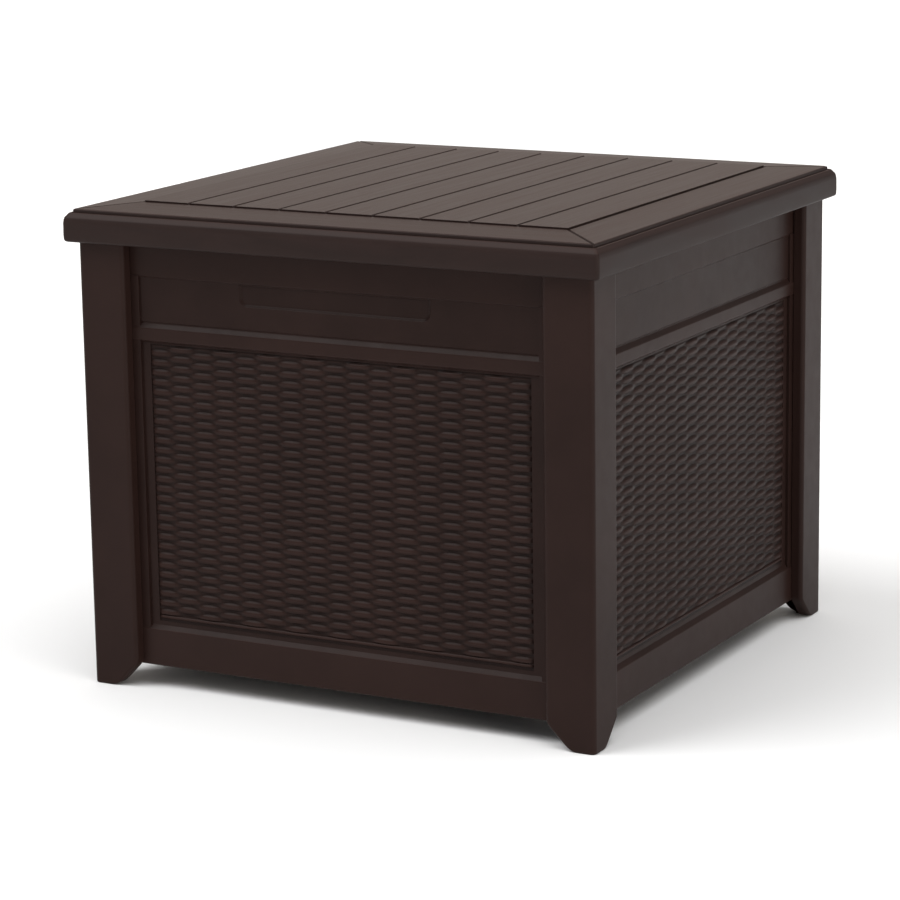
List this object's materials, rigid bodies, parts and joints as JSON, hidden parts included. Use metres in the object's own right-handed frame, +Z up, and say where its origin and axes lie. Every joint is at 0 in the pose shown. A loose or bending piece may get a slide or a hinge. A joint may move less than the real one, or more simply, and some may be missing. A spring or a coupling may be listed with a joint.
{
  "type": "storage coffee table",
  "caption": "Square resin coffee table with wicker-look walls, corner posts and a hinged slatted lid over a storage bay.",
  "frame": {"origin": "on the ground, under the middle of the table", "axes": "+Z up, front (the side with the finger recess) towards -Y, hinges at +Y, +X to the right seen from the front"},
  "size_m": [0.715, 0.715, 0.5985],
  "materials": {
    "wall_resin": "dark brown moulded resin, fine satin texture",
    "lid_resin": "dark brown moulded resin with a faint wood grain",
    "inner_resin": "plain dark brown resin",
    "hinge_resin": "plain dark brown glass-filled resin",
    "steel": "zinc-plated steel"
  },
  "bodies": {
    "body": {"post_back_right": "wall_resin", "post_back_left": "wall_resin", "post_front_left": "wall_resin", "post_front_right": "wall_resin", "front_panel": "wall_resin", "front_panel_screw_1": "steel", "front_panel_screw_2": "steel", "front_panel_screw_3": "steel", "front_panel_screw_4": "steel", "right_panel": "wall_resin", "right_panel_screw_1": "steel", "right_panel_screw_2": "steel", "right_panel_screw_3": "steel", "right_panel_screw_4": "steel", "back_panel": "wall_resin", "back_panel_screw_1": "steel", "back_panel_screw_2": "steel", "back_panel_screw_3": "steel", "back_panel_screw_4": "steel", "left_panel": "wall_resin", "left_panel_screw_1": "steel", "left_panel_screw_2": "steel", "left_panel_screw_3": "steel", "left_panel_screw_4": "steel", "floor_panel": "inner_resin", "floor_screw_1": "steel", "floor_screw_2": "steel", "floor_screw_3": "steel", "floor_screw_4": "steel", "hinge_bracket_left": "hinge_resin", "hinge_pin_left": "steel", "bracket_screw_left_1": "steel", "bracket_screw_left_2": "steel", "hinge_bracket_right": "hinge_resin", "hinge_pin_right": "steel", "bracket_screw_right_1": "steel", "bracket_screw_right_2": "steel"},
    "lid": {"lid_top": "lid_resin", "lid_liner": "inner_resin", "liner_screw_1": "steel", "liner_screw_2": "steel", "liner_screw_3": "steel", "liner_screw_4": "steel", "hinge_leaf_left": "hinge_resin", "leaf_screw_left_1": "steel", "leaf_screw_left_2": "steel", "hinge_leaf_right": "hinge_resin", "leaf_screw_right_1": "steel", "leaf_screw_right_2": "steel"}
  },
  "joints": [
    {"name": "lid_hinge", "type": "hinge", "parent": "body", "child": "lid", "pos_m": [0, 0.35, 0.547], "axis": [-1, 0, 0], "range_deg": [0, 100]}
  ]
}
